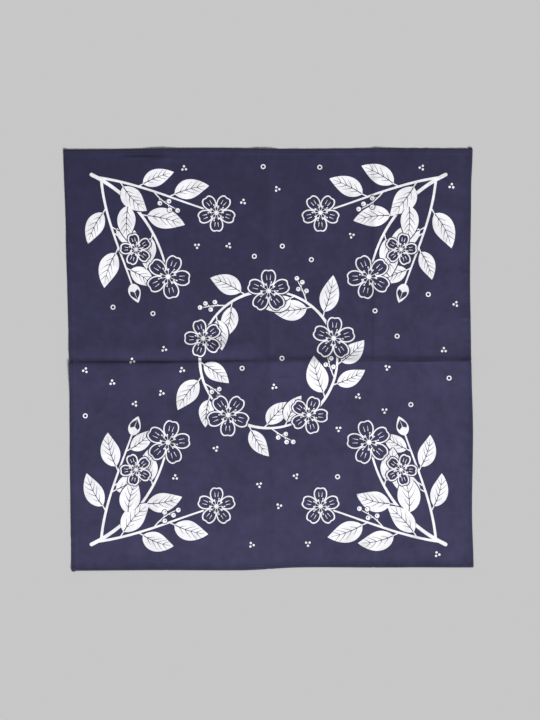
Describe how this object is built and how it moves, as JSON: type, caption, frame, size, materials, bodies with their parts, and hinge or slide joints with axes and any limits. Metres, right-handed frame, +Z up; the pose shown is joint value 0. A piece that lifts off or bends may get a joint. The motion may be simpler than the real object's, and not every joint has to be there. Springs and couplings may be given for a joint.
{
  "type": "bandana",
  "caption": "Square printed cotton bandana laid flat, with narrow stitched hems round its edge and soft creases where it was folded.",
  "frame": {"origin": "on the surface the cloth lies on, under the middle of its outline", "axes": "+X to the cloth's right and +Y to its top as the printed face is seen, +Z up from the surface through the printed face"},
  "size_m": [0.526, 0.5418, 0.0049],
  "materials": {
    "printed_cotton": "matt plain-weave cotton, indigo ground with a white floral print",
    "hem_cotton": "matt plain-weave cotton, indigo"
  },
  "bodies": {
    "root": {"panel": "printed_cotton", "hem_left": "hem_cotton", "hem_right": "hem_cotton", "hem_top": "hem_cotton", "hem_bottom": "hem_cotton"}
  },
  "joints": []
}
